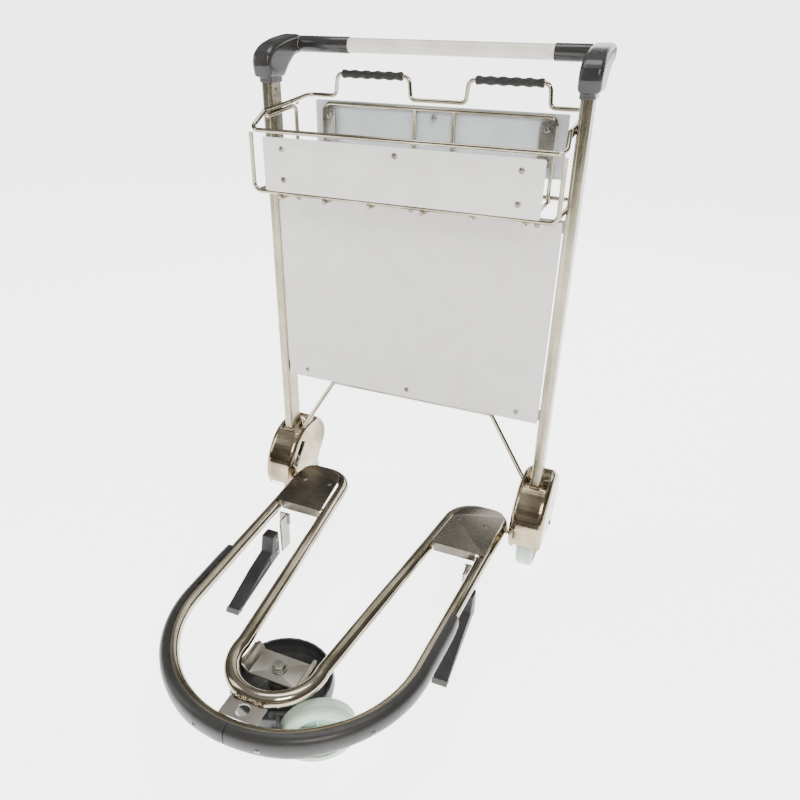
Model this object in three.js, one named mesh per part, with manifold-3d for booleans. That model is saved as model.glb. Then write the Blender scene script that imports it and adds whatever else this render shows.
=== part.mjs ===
// Airport luggage trolley: three wheels, welded stainless tube frame, wire basket and panel back.
// Millimetres, +Z up, nose towards -Y, +X to the user's right when pushing from the nose side.
import * as THREE from "three";
import { mergeVertices } from "three/addons/utils/BufferGeometryUtils.js";
import Module from "manifold-3d";

const wasm = await Module();
wasm.setup();

// ---------------------------------------------------------------- driving dimensions
const GAP = 0.3; // clearance between pieces that touch

// Platform: one loop of round tube that rises gently towards the nose
const TUBE_R = 12.5;
const TUBE_WALL = 1.5;
const TUBE_Z = 130; // centre line under the deck plates, at y = TUBE_Z_AT
const TUBE_Z_AT = -100;
const SLOPE = 0.022;
const NOSE_R = 216; // centre-line radius of the outer nose arc
const NOSE_Y = -470; // centre of that arc
const OUTER_REAR_X = 238;
const REAR_RUN_Y = -24; // centre line of the cross run behind each deck plate
const INNER_REAR_X = 133;
const INNER_NOSE_R = 75; // centre-line radius of the inner nose arc
const INNER_NOSE_Y = -550; // centre of that arc

// Deck plates
const DECK_T = 2;
const DECK_FRONT_Y = -180;
const DECK_INNER_X = 124;
const LIP_DEPTH = 20;

// Uprights
const UPRIGHT_X = 288;
const UPRIGHT_W = 20;
const UPRIGHT_D = 40;
const UPRIGHT_CORNER = 5;
const UPRIGHT_WALL = 1.5;
const UPRIGHT_BOTTOM = 159;
const UPRIGHT_TOP = 974;

// Handle
const HANDLE_Y = 88;
const HANDLE_Z = 1010;
const HANDLE_R = 12.5;
const HANDLE_HALF = 284;
const SLEEVE_R = 14;
const SLEEVE_START_LEFT = 170; // where the bare centre section ends
const SLEEVE_START_RIGHT = 210;
const COVER_X = 290;
const COVER_W = 37;
const COVER_BOTTOM = 957;

// Wheels
const REAR_WHEEL_R = 62.5;
const REAR_WHEEL_W = 34;
const REAR_WHEEL_X = 285;
const REAR_WHEEL_Y = 22;
const REAR_AXLE_R = 6;
const GUARD_W = 70;
const GUARD_WALL = 3;
const FRONT_WHEEL_R = 61.5;
const FRONT_WHEEL_W = 30;
const FRONT_AXLE_R = 5;
const KINGPIN_Y = -551;
const KINGPIN_R = 6;
const TRAIL = 54;
const WHEEL_OFFSET = 78; // from the kingpin to the wheel's middle plane
const CASTER_HEADING = THREE.MathUtils.degToRad(33);
const BOWL_R = 86;
const BOWL_SHIFT = 3; // the bowl sits a little towards its wheel
const BOWL_RIM_Z = 108;
const BOWL_FLOOR_Z = 50;
const BRACKET_Z = 120; // underside of the bracket's flat

// Basket
const WIRE_R = 4;
const WIRE_STEP = 2 * WIRE_R + GAP; // between the centres of two wires that touch
const BASKET_X = 280;
const BASKET_FRONT_Y = -92;
const SIDE_WIRE_X = UPRIGHT_X - UPRIGHT_W / 2 - GAP - WIRE_R;
const RIM_FRONT_Z = 877;
const RIM_SIDE_Z = 904;
const RIM_REAR_Z = 922;
const RAIL_Y = 105;
const RAIL_CORNER_X = 268;
const LOOP_IN_X = 54;
const LOOP_OUT_X = 209;
const LOOP_TOP_Z = 961;
const REAR_FRAME_Y = 88;
const REAR_FRAME_X = 226;
const REAR_FRAME_TOP = 909;
const FLOOR_WIRE_X = [49.5, 137, 226];
const GRIP_R = 8;

// Panels
const PANEL_T = 4;
const LOWER_PANEL_X = 275;
const LOWER_PANEL_Y = -17; // front face
const LOWER_PANEL_BOTTOM = 366;
const PANEL_RAIL_TOP = 760;
const RAIL_T = 3;
const FLOOR_WIRE_Z = PANEL_RAIL_TOP + GAP + WIRE_R;
const FRONT_PANEL_X = 252;
const FRONT_PANEL_BOTTOM = 776;
const FRONT_PANEL_TOP = 868;
const BACK_PANEL_X = 247;
const BACK_PANEL_BOTTOM = 806;
const BACK_PANEL_TOP = 915;

// The length runs from the bumper's front to the back of the loop grips.
const BUMPER_OUT = 20; // bumper's outer face, from the tube's centre line
const COVER_BACK = 16; // cover's back, from the handle's centre line
const FRONT_Y = NOSE_Y - NOSE_R - BUMPER_OUT;
const BACK_Y = RAIL_Y + 1 + GRIP_R;

// ---------------------------------------------------------------- materials
const material = (color, roughness, metalness) =>
  new THREE.MeshStandardMaterial({ color, roughness, metalness });
const polishedSteel = () => material(0xcfc8b8, 0.2, 1);
const brushedSteel = () => material(0xb3aa9c, 0.4, 1);
const zincSteel = () => material(0xa8a69c, 0.35, 1);
const whitePanel = () => material(0xe2e0dc, 0.35, 0);
const bluePanel = () => material(0xd3dbe0, 0.3, 0);
const creamAluminium = () => material(0xded8cd, 0.35, 0.6);
const darkPlastic = () => material(0x5a5856, 0.3, 0);
const bumperPlastic = () => material(0x6a6866, 0.35, 0);
const bowlPlastic = () => material(0x4c4e4e, 0.4, 0);
const charcoalPlastic = () => material(0x3c3a3c, 0.6, 0);
const gripRubber = () => material(0x3c3c3a, 0.6, 0);
const mintTyre = () => material(0xb9c0a5, 0.5, 0);
const mintHub = () => material(0xcde4d6, 0.35, 0);

// ---------------------------------------------------------------- shape helpers

// A closed run of points as a 3-D curve whose samples are exactly those points.
class PointPath extends THREE.Curve {
  constructor(points) {
    super();
    this.points = points;
  }
  getPoint(t, target = new THREE.Vector3()) {
    const last = this.points.length - 1;
    return target.copy(this.points[Math.round(t * last)]);
  }
  getPointAt(u, target) {
    return this.getPoint(u, target);
  }
  getTangentAt(u, target = new THREE.Vector3()) {
    const last = this.points.length - 1;
    const i = Math.round(u * last);
    const before = this.points[i].clone().sub(this.points[Math.max(i - 1, 0)]).normalize();
    const after = this.points[Math.min(i + 1, last)].clone().sub(this.points[i]).normalize();
    return target.copy(before.add(after)).normalize();
  }
}

// Corner points with each inner corner rounded to an arc: one radius, or one for each corner.
function rounded(corners, radius, stepsPerCorner = 4) {
  const path = [corners[0].clone()];
  for (let i = 1; i < corners.length - 1; i += 1) {
    const corner = corners[i];
    const back = corners[i - 1].clone().sub(corner);
    const ahead = corners[i + 1].clone().sub(corner);
    const room = 0.49 * Math.min(back.length(), ahead.length());
    back.normalize();
    ahead.normalize();
    const half = back.angleTo(ahead) / 2;
    const wanted = Array.isArray(radius) ? radius[i - 1] : radius;
    const r = Math.min(wanted, room * Math.tan(half));
    const reach = r / Math.tan(half);
    const centre = back.clone().add(ahead).normalize().multiplyScalar(r / Math.sin(half)).add(corner);
    const from = corner.clone().addScaledVector(back, reach).sub(centre);
    const to = corner.clone().addScaledVector(ahead, reach).sub(centre);
    const sweep = from.angleTo(to);
    for (let k = 0; k <= stepsPerCorner; k += 1) {
      const t = k / stepsPerCorner;
      const a = Math.sin((1 - t) * sweep) / Math.sin(sweep);
      const b = Math.sin(t * sweep) / Math.sin(sweep);
      path.push(centre.clone().addScaledVector(from, a).addScaledVector(to, b));
    }
  }
  path.push(corners[corners.length - 1].clone());
  return path;
}

const at = (x, y, z) => new THREE.Vector3(x, y, z);

function ringShape(radius, sides, holeRadius = 0) {
  const ring = (r) =>
    Array.from({ length: sides }, (_, i) => {
      const angle = (2 * Math.PI * (i + 0.5)) / sides;
      return new THREE.Vector2(r * Math.cos(angle), r * Math.sin(angle));
    });
  const shape = new THREE.Shape(ring(radius));
  if (holeRadius > 0) {
    shape.holes.push(new THREE.Path(ring(holeRadius).reverse()));
  }
  return shape;
}

function sweep(shape, path) {
  return new THREE.ExtrudeGeometry(shape, {
    steps: path.length - 1,
    extrudePath: new PointPath(path),
  });
}

const rod = (path, radius, sides = 8) => sweep(ringShape(radius, sides), path);
const pipe = (path, radius, wall, sides = 12) => sweep(ringShape(radius, sides, radius - wall), path);

function extrude(shape, depth, bevel = 0, bevelSegments = 2) {
  const geometry = new THREE.ExtrudeGeometry(shape, {
    depth: depth - 2 * bevel,
    bevelEnabled: bevel > 0,
    bevelThickness: bevel,
    bevelSize: bevel,
    bevelOffset: -bevel,
    bevelSegments,
    curveSegments: 4,
  });
  return geometry.translate(0, 0, bevel);
}

// An outline in Y and Z, given thickness along X and centred on x.
function sidePlate(shape, x, width, bevel = 0, bevelSegments = 2) {
  const geometry = extrude(shape, width, bevel, bevelSegments);
  geometry.rotateX(Math.PI / 2).rotateZ(Math.PI / 2);
  return geometry.translate(x - width / 2, 0, 0);
}

// An outline in X and Z, given thickness along +Y from y.
function frontPlate(shape, y, depth, bevel = 0) {
  return extrude(shape, depth, bevel).rotateX(Math.PI / 2).translate(0, y + depth, 0);
}

function roundedRect(width, height, radius) {
  const shape = new THREE.Shape();
  const w = width / 2;
  const h = height / 2;
  shape.moveTo(w - radius, -h);
  shape.absarc(w - radius, -h + radius, radius, -Math.PI / 2, 0);
  shape.absarc(w - radius, h - radius, radius, 0, Math.PI / 2);
  shape.absarc(-w + radius, h - radius, radius, Math.PI / 2, Math.PI);
  shape.absarc(-w + radius, -h + radius, radius, Math.PI, 1.5 * Math.PI);
  return shape;
}

function circlePath(x, y, radius, sides = 16) {
  const points = Array.from({ length: sides }, (_, i) => {
    const angle = (-2 * Math.PI * i) / sides;
    return new THREE.Vector2(x + radius * Math.cos(angle), y + radius * Math.sin(angle));
  });
  return new THREE.Path(points);
}

// The same points with all but the first and last joined by a smooth curve.
function softened(points, count) {
  const through = points.slice(1, -1).map(([x, y]) => new THREE.Vector3(x, y, 0));
  const curve = new THREE.CatmullRomCurve3(through).getSpacedPoints(count);
  return [points[0], ...curve.map((p) => [p.x, p.y]), points[points.length - 1]];
}

const outline = (points) => new THREE.Shape(points.map(([x, y]) => new THREE.Vector2(x, y)));

const box = (width, depth, height, x, y, z) =>
  new THREE.BoxGeometry(width, depth, height).translate(x, y, z);

// A solid turned about +Z from [radius, height] points.
function turned(profile, sides) {
  const points = profile.map(([radius, height]) => new THREE.Vector2(radius, height));
  return new THREE.LatheGeometry(points, sides).rotateX(Math.PI / 2);
}

const cylinder = (radius, height, sides) =>
  new THREE.CylinderGeometry(radius, radius, height, sides).rotateX(Math.PI / 2);

function toManifold(geometry) {
  const bare = geometry.clone();
  bare.deleteAttribute("normal");
  bare.deleteAttribute("uv");
  const merged = mergeVertices(bare, 1e-4);
  const vertProperties = new Float32Array(merged.attributes.position.array);
  const triVerts = new Uint32Array(merged.index.array);
  return new wasm.Manifold(new wasm.Mesh({ numProp: 3, vertProperties, triVerts }));
}

function fromManifold(solid) {
  const mesh = solid.getMesh();
  const geometry = new THREE.BufferGeometry();
  geometry.setAttribute("position", new THREE.BufferAttribute(mesh.vertProperties, 3));
  geometry.setIndex(new THREE.BufferAttribute(mesh.triVerts, 1));
  return geometry;
}

const join = (...geometries) =>
  fromManifold(geometries.map(toManifold).reduce((whole, piece) => whole.add(piece)));

const cut = (geometry, ...tools) =>
  fromManifold(tools.map(toManifold).reduce((whole, tool) => whole.subtract(tool), toManifold(geometry)));

// The same shape on the other side of the trolley's middle plane.
function mirrored(geometry) {
  const flat = geometry.index ? geometry.toNonIndexed() : geometry.clone();
  const position = flat.attributes.position;
  for (let i = 0; i < position.count; i += 3) {
    const corners = [0, 1, 2].map((k) => new THREE.Vector3().fromBufferAttribute(position, i + k));
    [corners[0], corners[2], corners[1]].forEach((corner, k) => {
      position.setXYZ(i + k, -corner.x, corner.y, corner.z);
    });
  }
  return flat;
}

// ---------------------------------------------------------------- scene graph
const trolley = new THREE.Group();
trolley.position.y = -(FRONT_Y + BACK_Y) / 2;

function add(name, geometry, look, parent = trolley) {
  const mesh = new THREE.Mesh(geometry, look);
  mesh.name = name;
  parent.add(mesh);
  return mesh;
}

// Shapes are drawn for the right-hand side (+X) and mirrored for the left.
function addPair(name, rightGeometry, look) {
  add(`${name}_right`, rightGeometry, look());
  add(`${name}_left`, mirrored(rightGeometry), look());
}

// ---------------------------------------------------------------- platform
const tubeZ = (y) => TUBE_Z + SLOPE * (TUBE_Z_AT - y);
const onTube = (x, y) => at(x, y, tubeZ(y));
const flipX = (p) => at(-p.x, p.y, p.z);

// The same shape, leaned with the platform.
function sloped(geometry) {
  const position = geometry.attributes.position;
  for (let i = 0; i < position.count; i += 1) {
    position.setZ(i, position.getZ(i) + SLOPE * (TUBE_Z_AT - position.getY(i)));
  }
  return geometry;
}

// Right half of the outer tube's centre line, from startAngle off the nose tip to the straight side.
function outerArc(startAngle, steps) {
  const stop = THREE.MathUtils.degToRad(88);
  return Array.from({ length: steps + 1 }, (_, i) => {
    const angle = startAngle + ((stop - startAngle) * i) / steps;
    return onTube(NOSE_R * Math.sin(angle), NOSE_Y - NOSE_R * Math.cos(angle));
  });
}

// Right half of the inner tube's nose, from the tip to where the straight leg leaves it.
function innerArc(steps) {
  const away = Math.hypot(INNER_REAR_X, REAR_RUN_Y - INNER_NOSE_Y);
  const legAngle = Math.atan2(INNER_REAR_X, REAR_RUN_Y - INNER_NOSE_Y) - Math.asin(INNER_NOSE_R / away);
  const stop = Math.PI / 2 + legAngle;
  return Array.from({ length: steps + 1 }, (_, i) => {
    const angle = (stop * i) / steps;
    return onTube(INNER_NOSE_R * Math.sin(angle), INNER_NOSE_Y - INNER_NOSE_R * Math.cos(angle));
  });
}

function addPlatform() {
  const arc = outerArc(0, 12);
  const rearCorner = onTube(OUTER_REAR_X, REAR_RUN_Y);
  const sideStart = arc[arc.length - 1];
  const outerSplit = sideStart.clone().lerp(rearCorner, 0.84);
  const half = [...arc, outerSplit];
  const outer = [...half.slice(1).map(flipX).reverse(), ...half];
  add("platform_outer_tube", pipe(outer, TUBE_R, TUBE_WALL), polishedSteel());

  const innerCorner = onTube(INNER_REAR_X, REAR_RUN_Y);
  const nose = innerArc(10);
  const shoulder = nose[nose.length - 1];
  const innerSplit = innerCorner.clone().lerp(shoulder, 0.24);
  const gapAlong = (from, to) => to.clone().sub(from).normalize().multiplyScalar(GAP);
  const bendStart = outerSplit.clone().add(gapAlong(sideStart, rearCorner));
  const bend = rounded([bendStart, rearCorner, innerCorner, innerSplit], [34, 56], 5);
  addPair("platform_rear_bend", pipe(bend, TUBE_R, TUBE_WALL), polishedSteel);

  const legStart = innerSplit.clone().add(gapAlong(innerCorner, shoulder));
  const right = [...nose, legStart];
  const inner = [...right.slice(1).map(flipX).reverse(), ...right];
  add("platform_inner_tube", pipe(inner, TUBE_R, TUBE_WALL), polishedSteel());
}

function addNoseLinkPlate() {
  const halfWidth = 33;
  const back = -638;
  const front = -670;
  const shape = outline([[-halfWidth, front], [halfWidth, front], [halfWidth, back], [-halfWidth, back]]);
  const holeRadius = 11;
  shape.holes.push(circlePath(0, (front + back) / 2, holeRadius));
  const plateTop = 144;
  const thickness = 3;
  add("nose_link_plate", extrude(shape, thickness).translate(0, 0, plateTop - thickness), brushedSteel());
}

function addDeckPlates() {
  const corner = 26;
  const innerCorner = 50;
  const shape = new THREE.Shape();
  shape.moveTo(DECK_INNER_X, DECK_FRONT_Y);
  shape.lineTo(OUTER_REAR_X - 6, DECK_FRONT_Y);
  shape.lineTo(OUTER_REAR_X, REAR_RUN_Y - corner);
  shape.absarc(OUTER_REAR_X - corner, REAR_RUN_Y - corner, corner, 0, Math.PI / 2);
  shape.absarc(INNER_REAR_X + 6 + innerCorner, REAR_RUN_Y - innerCorner, innerCorner, Math.PI / 2, Math.PI);
  const underside = TUBE_Z + TUBE_R + GAP + 0.2;
  const plate = extrude(shape, DECK_T).translate(0, 0, underside);
  const lipInner = DECK_INNER_X + 6;
  const lipOuter = OUTER_REAR_X - 22;
  const lip = box(lipOuter - lipInner, DECK_T, LIP_DEPTH, (lipInner + lipOuter) / 2, 0, 0);
  lip.translate(0, DECK_FRONT_Y + DECK_T / 2, underside + DECK_T - LIP_DEPTH / 2 - 0.05);
  addPair("deck_plate", sloped(join(plate, lip)), brushedSteel);
}

function addBumpers() {
  const seamAngle = Math.asin(GAP / NOSE_R);
  const arc = outerArc(seamAngle, 12);
  const rearCorner = onTube(OUTER_REAR_X, REAR_RUN_Y);
  const path = [...arc, arc[arc.length - 1].clone().lerp(rearCorner, 0.28)];
  const hug = TUBE_R + GAP;
  const inside = [80, 50, 20, -10, -40, -65].map((degrees) => {
    const angle = THREE.MathUtils.degToRad(degrees);
    const reach = hug / Math.cos(THREE.MathUtils.degToRad(15));
    return [reach * Math.cos(angle), reach * Math.sin(angle)];
  });
  const outside = [[8, -20], [14, -20], [18.5, -14], [BUMPER_OUT, -5], [BUMPER_OUT, 4], [16, 12], [8, 16], [3, 16]];
  const profile = [...inside, ...outside].map(([out, up]) => [-up, -out]);
  addPair("bumper", sweep(outline(profile), path), bumperPlastic);
}

function addSkids() {
  const profile = outline([
    [-216, 92],
    [-240, 92],
    [-248, 57],
    [-298, 43],
    [-378, 12],
    [-384, 3],
    [-370, 2],
    [-240, 30],
    [-216, 34],
  ]);
  const width = 28;
  const inner = 206;
  addPair("nesting_skid", sidePlate(profile, inner + width / 2, width, 2, 1), charcoalPlastic);
  const plate = 4;
  const depth = 32;
  const low = 36;
  const high = 117;
  const bracketBack = DECK_FRONT_Y - GAP;
  const web = box(plate, depth, high - low, inner - GAP - plate / 2, bracketBack - depth / 2, (low + high) / 2);
  const foot = box(24, plate, 26, inner + 4, bracketBack - plate / 2, high - 13);
  addPair("skid_bracket", join(web, foot), brushedSteel);
}

// ---------------------------------------------------------------- uprights, guards and rear wheels
function addUprights() {
  const shape = roundedRect(UPRIGHT_W, UPRIGHT_D, UPRIGHT_CORNER);
  const wall = 2 * UPRIGHT_WALL;
  const hollow = roundedRect(UPRIGHT_W - wall, UPRIGHT_D - wall, UPRIGHT_CORNER - UPRIGHT_WALL);
  shape.holes.push(new THREE.Path(hollow.getPoints(3).reverse()));
  const tube = extrude(shape, UPRIGHT_TOP - UPRIGHT_BOTTOM);
  addPair("upright", tube.translate(UPRIGHT_X, 0, UPRIGHT_BOTTOM), polishedSteel);
}

const GUARD_PROFILE = [
  [-74, 98],
  [-80, 124],
  [-76, 152],
  [-61, 184],
  [-34, 212],
  [-5, 225],
  [35, 228],
  [66, 218],
  [90, 196],
  [99, 170],
  [92, 146],
  [52, 98],
];

function addGuards() {
  const profile = softened(GUARD_PROFILE, 26);
  const outer = sidePlate(outline(profile), UPRIGHT_X, GUARD_W, 14, 4);
  const middle = [10, 150];
  const shrink = (value, centre, span) => centre + (value - centre) * (1 - GUARD_WALL / span);
  const inside = profile.map(([y, z]) => [shrink(y, middle[0], 85), shrink(z, middle[1], 72)]);
  inside[0] = [-71, 60];
  inside[inside.length - 1] = [60, 60];
  const cavity = sidePlate(outline(inside), UPRIGHT_X, GUARD_W - 2 * GUARD_WALL, 12, 2);
  const opening = box(46, 84, 80, UPRIGHT_X, 21, 230);
  const slot = box(20, 16, 62, 0, 0, 0);
  slot.rotateX(THREE.MathUtils.degToRad(-45));
  slot.translate(UPRIGHT_X - GUARD_W / 2, -36, 172);
  addPair("wheel_guard", cut(outer, cavity, opening, slot), polishedSteel);
}

function addAxleForks() {
  const thickness = 4;
  const inside = REAR_WHEEL_W / 2 + 1.5;
  const top = UPRIGHT_BOTTOM - GAP;
  const bridgeBack = REAR_WHEEL_Y + 14;
  const bridgeFront = -24;
  const shape = new THREE.Shape();
  const lobe = 15;
  shape.absarc(REAR_WHEEL_Y, REAR_WHEEL_R, lobe, -Math.PI, 0);
  shape.lineTo(bridgeBack, top);
  shape.lineTo(bridgeFront, top);
  shape.holes.push(circlePath(REAR_WHEEL_Y, REAR_WHEEL_R, REAR_AXLE_R + GAP, 12));
  const plates = [-1, 1].map((side) =>
    sidePlate(shape, REAR_WHEEL_X + side * (inside + thickness / 2), thickness),
  );
  const bridge = box(2 * inside + thickness, bridgeBack - bridgeFront, thickness, REAR_WHEEL_X, 0, 0);
  bridge.translate(0, (bridgeBack + bridgeFront) / 2, top - thickness / 2);
  addPair("axle_fork", join(...plates, bridge), brushedSteel);
}

// A round piece turned about +Z, laid along X at a rear wheel's centre.
const onRearAxle = (geometry) =>
  geometry.rotateY(Math.PI / 2).translate(REAR_WHEEL_X, REAR_WHEEL_Y, REAR_WHEEL_R);

// A ring of rectangular section with its outer edges eased.
function ring(outerRadius, innerRadius, width, ease, sides) {
  const half = width / 2;
  const profile = [
    [innerRadius, -half],
    [outerRadius - ease, -half],
    [outerRadius, -half + ease],
    [outerRadius, half - ease],
    [outerRadius - ease, half],
    [innerRadius, half],
    [innerRadius, -half],
  ];
  return turned(profile, sides);
}

function addRearWheels() {
  const tyreInside = 47;
  addPair("rear_tyre", onRearAxle(ring(REAR_WHEEL_R, tyreInside, REAR_WHEEL_W, 5, 32)), mintTyre);
  const hub = ring(tyreInside - GAP, REAR_AXLE_R + GAP, REAR_WHEEL_W - 8, 2, 24);
  addPair("rear_hub", onRearAxle(hub), mintHub);
  const forkOutside = REAR_WHEEL_W / 2 + 1.5 + 4 + GAP;
  const shank = cylinder(REAR_AXLE_R, 2 * forkOutside + 1, 12);
  const nut = cylinder(9, 5, 6);
  const bolt = join(shank, nut.clone().translate(0, 0, forkOutside + 2.5), nut.translate(0, 0, -forkOutside - 2.5));
  addPair("rear_axle_bolt", onRearAxle(bolt), zincSteel);
}

function addBraceRod() {
  const radius = 4.5;
  const end = at(258.5, -2, 226);
  const bend = at(178, 2, 356);
  const path = rounded([flipX(end), flipX(bend), bend, end], 14, 4);
  add("brace_rod", rod(path, radius), polishedSteel());
}

// ---------------------------------------------------------------- panels
function addPanels() {
  const back = LOWER_PANEL_Y + PANEL_T;
  const lowerTop = PANEL_RAIL_TOP - 3;
  const height = lowerTop - LOWER_PANEL_BOTTOM;
  const sheet = roundedRect(2 * LOWER_PANEL_X, height, 3);
  const lower = frontPlate(sheet, LOWER_PANEL_Y, PANEL_T, 0);
  add("lower_panel", lower.translate(0, 0, LOWER_PANEL_BOTTOM + height / 2), whitePanel());

  const railHeight = 22;
  const railX = UPRIGHT_X - UPRIGHT_W / 2 - GAP;
  const rail = box(2 * railX, RAIL_T, railHeight, 0, back + GAP + RAIL_T / 2, 0);
  add("panel_top_rail", rail.clone().translate(0, 0, PANEL_RAIL_TOP - railHeight / 2), brushedSteel());
  const bottomRailZ = LOWER_PANEL_BOTTOM + 6 + railHeight / 2;
  add("panel_bottom_rail", rail.translate(0, 0, bottomRailZ), brushedSteel());

  const frontThickness = 3;
  const frontHeight = FRONT_PANEL_TOP - FRONT_PANEL_BOTTOM;
  const frontSheet = roundedRect(2 * FRONT_PANEL_X, frontHeight, 4);
  const frontY = BASKET_FRONT_Y - WIRE_R - GAP - frontThickness;
  const front = frontPlate(frontSheet, frontY, frontThickness);
  add("basket_front_panel", front.translate(0, 0, FRONT_PANEL_BOTTOM + frontHeight / 2), whitePanel());

  const rearHeight = BACK_PANEL_TOP - BACK_PANEL_BOTTOM;
  const rearY = REAR_FRAME_Y + WIRE_R + GAP;
  const rear = frontPlate(roundedRect(2 * BACK_PANEL_X, rearHeight, 3), rearY, PANEL_T);
  add("rear_panel", rear.translate(0, 0, BACK_PANEL_BOTTOM + rearHeight / 2), bluePanel());

  const clampT = 3;
  const clampY = REAR_FRAME_Y - WIRE_R - GAP - clampT;
  const clampWidth = 27;
  const clampHeight = 77;
  const clamp = frontPlate(roundedRect(clampWidth, clampHeight, 2), clampY, clampT);
  clamp.translate(REAR_FRAME_X - clampWidth / 2 + 1, 0, REAR_FRAME_TOP - 7 - clampHeight / 2);
  addPair("rear_panel_bracket", clamp, zincSteel);
}

// ---------------------------------------------------------------- basket
function addBasket() {
  const upperZ = FLOOR_WIRE_Z + WIRE_STEP;

  const sideEnd = at(SIDE_WIRE_X, 34, RIM_SIDE_Z + 8);
  const sideBend = at(SIDE_WIRE_X + 1, -50, RIM_SIDE_Z);
  const corner = at(BASKET_X, BASKET_FRONT_Y, RIM_FRONT_Z);
  const rimRight = [corner, sideBend, sideEnd];
  const rim = rounded([...rimRight.map(flipX).reverse(), ...rimRight], [16, 14, 14, 16], 4);
  add("basket_front_rim", rod(rim, WIRE_R), polishedSteel());

  const rail = rounded(
    [
      at(GAP / 2, RAIL_Y, RIM_REAR_Z),
      at(LOOP_IN_X, RAIL_Y, RIM_REAR_Z),
      at(LOOP_IN_X + 4, RAIL_Y + 1, LOOP_TOP_Z),
      at(LOOP_OUT_X - 4, RAIL_Y + 1, LOOP_TOP_Z),
      at(LOOP_OUT_X, RAIL_Y, RIM_REAR_Z),
      at(RAIL_CORNER_X, RAIL_Y, RIM_REAR_Z),
      at(SIDE_WIRE_X, 34 + GAP, RIM_SIDE_Z + 8),
    ],
    [10, 12, 12, 10, 14],
    4,
  );
  addPair("basket_rear_rail", rod(rail, WIRE_R), polishedSteel);

  const side = rounded(
    [
      at(SIDE_WIRE_X, -44, RIM_SIDE_Z - WIRE_STEP - 0.6),
      at(SIDE_WIRE_X, 60, RIM_SIDE_Z - WIRE_STEP + 10),
      at(SIDE_WIRE_X, 62, upperZ),
      at(SIDE_WIRE_X, BASKET_FRONT_Y + WIRE_STEP, upperZ),
    ],
    12,
    4,
  );
  const sideWire = rod(side, WIRE_R);
  const floorRight = [at(264, REAR_FRAME_Y + WIRE_STEP, upperZ), at(SIDE_WIRE_X, 44, upperZ)];
  const rearFloor = rounded([...floorRight.map(flipX).reverse(), ...floorRight], 14, 4);
  add("basket_lower_frame", join(sideWire, mirrored(sideWire), rod(rearFloor, WIRE_R)), polishedSteel());

  const frameTop = RIM_FRONT_Z - WIRE_R - GAP;
  const frameCorner = at(BASKET_X, BASKET_FRONT_Y, upperZ);
  const frameRight = [frameCorner, at(BASKET_X, BASKET_FRONT_Y, frameTop)];
  const frame = rounded([...frameRight.map(flipX).reverse(), ...frameRight], 14, 4);
  add("basket_front_frame", rod(frame, WIRE_R), polishedSteel());

  FLOOR_WIRE_X.forEach((x, i) => {
    const path = [at(x, BASKET_FRONT_Y - 4, FLOOR_WIRE_Z), at(x, REAR_FRAME_Y + 13, FLOOR_WIRE_Z)];
    addPair(`basket_floor_wire_${i + 1}`, rod(path, WIRE_R), polishedSteel);
  });

  const postBottom = FLOOR_WIRE_Z + WIRE_R + GAP;
  const rearRight = [
    at(REAR_FRAME_X, REAR_FRAME_Y, REAR_FRAME_TOP),
    at(REAR_FRAME_X, REAR_FRAME_Y, postBottom),
  ];
  const rearFrame = rounded([...rearRight.map(flipX).reverse(), ...rearRight], 14, 4);
  const postX = 38.5;
  const post = rod([at(postX, REAR_FRAME_Y, postBottom), at(postX, REAR_FRAME_Y, REAR_FRAME_TOP)], WIRE_R);
  add("basket_rear_frame", join(rod(rearFrame, WIRE_R), post, mirrored(post)), polishedSteel());

  const gripPath = [at(74, RAIL_Y + 1, LOOP_TOP_Z), at(190, RAIL_Y + 1, LOOP_TOP_Z)];
  const gripWall = GRIP_R - WIRE_R - GAP - 0.1;
  addPair("loop_grip", pipe(gripPath, GRIP_R, gripWall, 10), gripRubber);
}

// ---------------------------------------------------------------- handle
function addHandle() {
  const alongX = (from, to) => [at(from, HANDLE_Y, HANDLE_Z), at(to, HANDLE_Y, HANDLE_Z)];
  add("handle_bar", pipe(alongX(-HANDLE_HALF, HANDLE_HALF), HANDLE_R, 1.5, 16), creamAluminium());
  const coverInner = COVER_X - COVER_W / 2 - GAP;
  const sleeveWall = SLEEVE_R - HANDLE_R - GAP;
  const sleeve = (from, to) => pipe(alongX(from, to), SLEEVE_R, sleeveWall, 16);
  add("handle_sleeve_right", sleeve(SLEEVE_START_RIGHT, coverInner), darkPlastic());
  add("handle_sleeve_left", sleeve(-coverInner, -SLEEVE_START_LEFT), darkPlastic());

  const corners = [
    [-27, COVER_BOTTOM],
    [-31, 975],
    [-28, 992],
    [-12, 1006],
    [20, 1017],
    [60, 1024],
    [88, 1026],
    [99, 1022],
    [HANDLE_Y + COVER_BACK, 1010],
    [99, 998],
    [88, 994],
    [68, 990],
    [44, 974],
    [27, COVER_BOTTOM],
  ];
  const shell = sidePlate(outline(softened(corners, 28)), COVER_X, COVER_W, 8, 4);
  const clear = 2 * GAP;
  const pocketTop = UPRIGHT_TOP + GAP;
  const pocket = box(UPRIGHT_W + clear, UPRIGHT_D + clear, 40, UPRIGHT_X, 0, pocketTop - 20);
  const barHole = cylinder(HANDLE_R + GAP + 0.2, 40, 20).rotateY(Math.PI / 2);
  barHole.translate(HANDLE_HALF + GAP - 20, HANDLE_Y, HANDLE_Z);
  const collarHeight = 10;
  const collar = extrude(roundedRect(UPRIGHT_W + 6, UPRIGHT_D + 6, UPRIGHT_CORNER + 2), collarHeight);
  collar.translate(UPRIGHT_X, 0, COVER_BOTTOM + 1 - collarHeight);
  addPair("corner_cover", cut(join(shell, collar), pocket, barHole), darkPlastic);
}

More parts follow.
